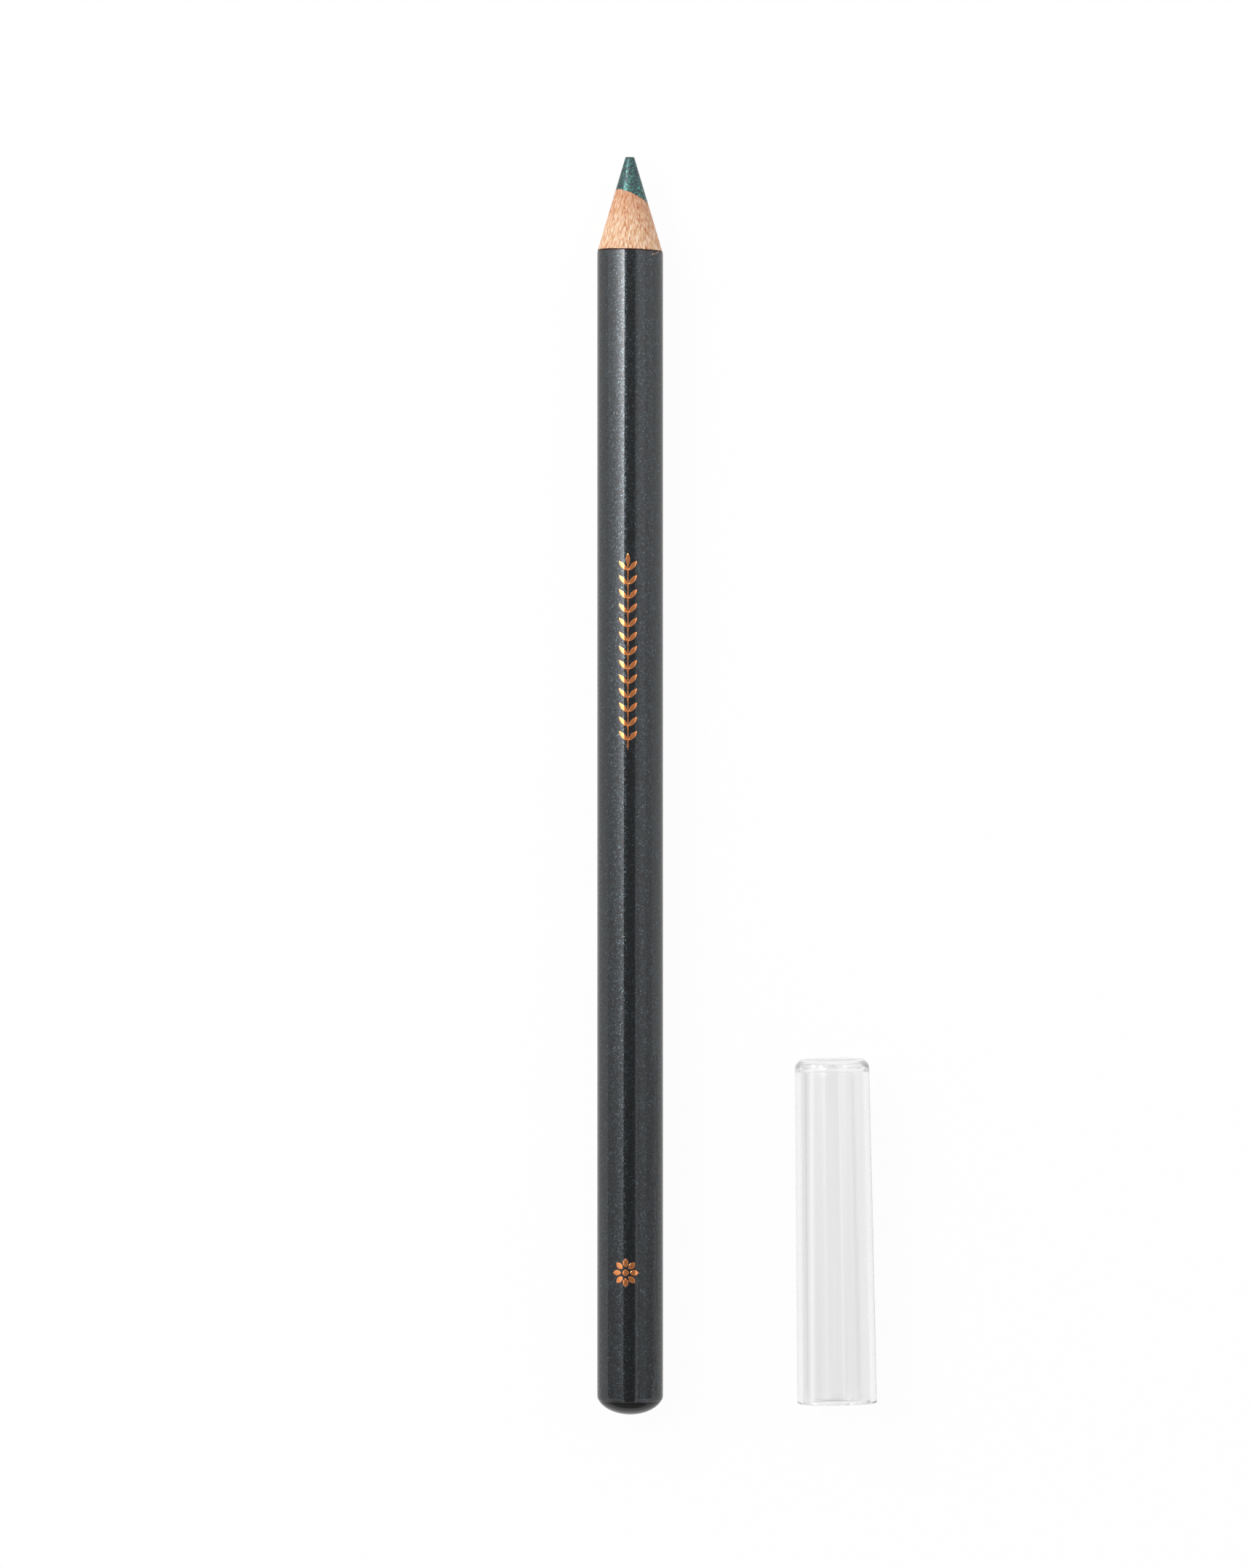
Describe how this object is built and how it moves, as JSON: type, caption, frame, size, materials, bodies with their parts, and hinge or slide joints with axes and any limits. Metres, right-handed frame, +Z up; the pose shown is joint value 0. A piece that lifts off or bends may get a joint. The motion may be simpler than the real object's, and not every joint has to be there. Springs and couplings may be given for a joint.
{
  "type": "eyeliner pencil",
  "caption": "Round wood-cased cosmetic pencil with a coloured core, sharpened to a blunt point, a metallic lacquered barrel and a glossy dipped end, with its clear tapered cap lying beside it.",
  "frame": {"origin": "on the surface the set lies on, under the middle of the box round the pencil and its cap", "axes": "+Y along the pencil from the dipped end towards the point, +Z up, the cap on the +X side with its mouth towards -Y"},
  "size_m": [0.0306, 0.1374, 0.0087],
  "materials": {
    "wood": "bare pale reddish cedar-like wood, freshly sharpened",
    "pigment": "soft wax and pearl pigment, dark green with a bright green shimmer",
    "metallic_lacquer": "dark grey metallic lacquer with fine teal flakes",
    "gloss_lacquer": "deep black gloss lacquer, dipped",
    "clear_plastic": "clear moulded polystyrene, polished",
    "copper_foil": "copper coloured hot-stamped foil"
  },
  "bodies": {
    "root": {"upper_wood_slat": "wood", "lower_wood_slat": "wood", "pigment_core": "pigment", "lacquer_coat": "metallic_lacquer", "dipped_end": "gloss_lacquer", "clear_cap": "clear_plastic"}
  },
  "joints": []
}
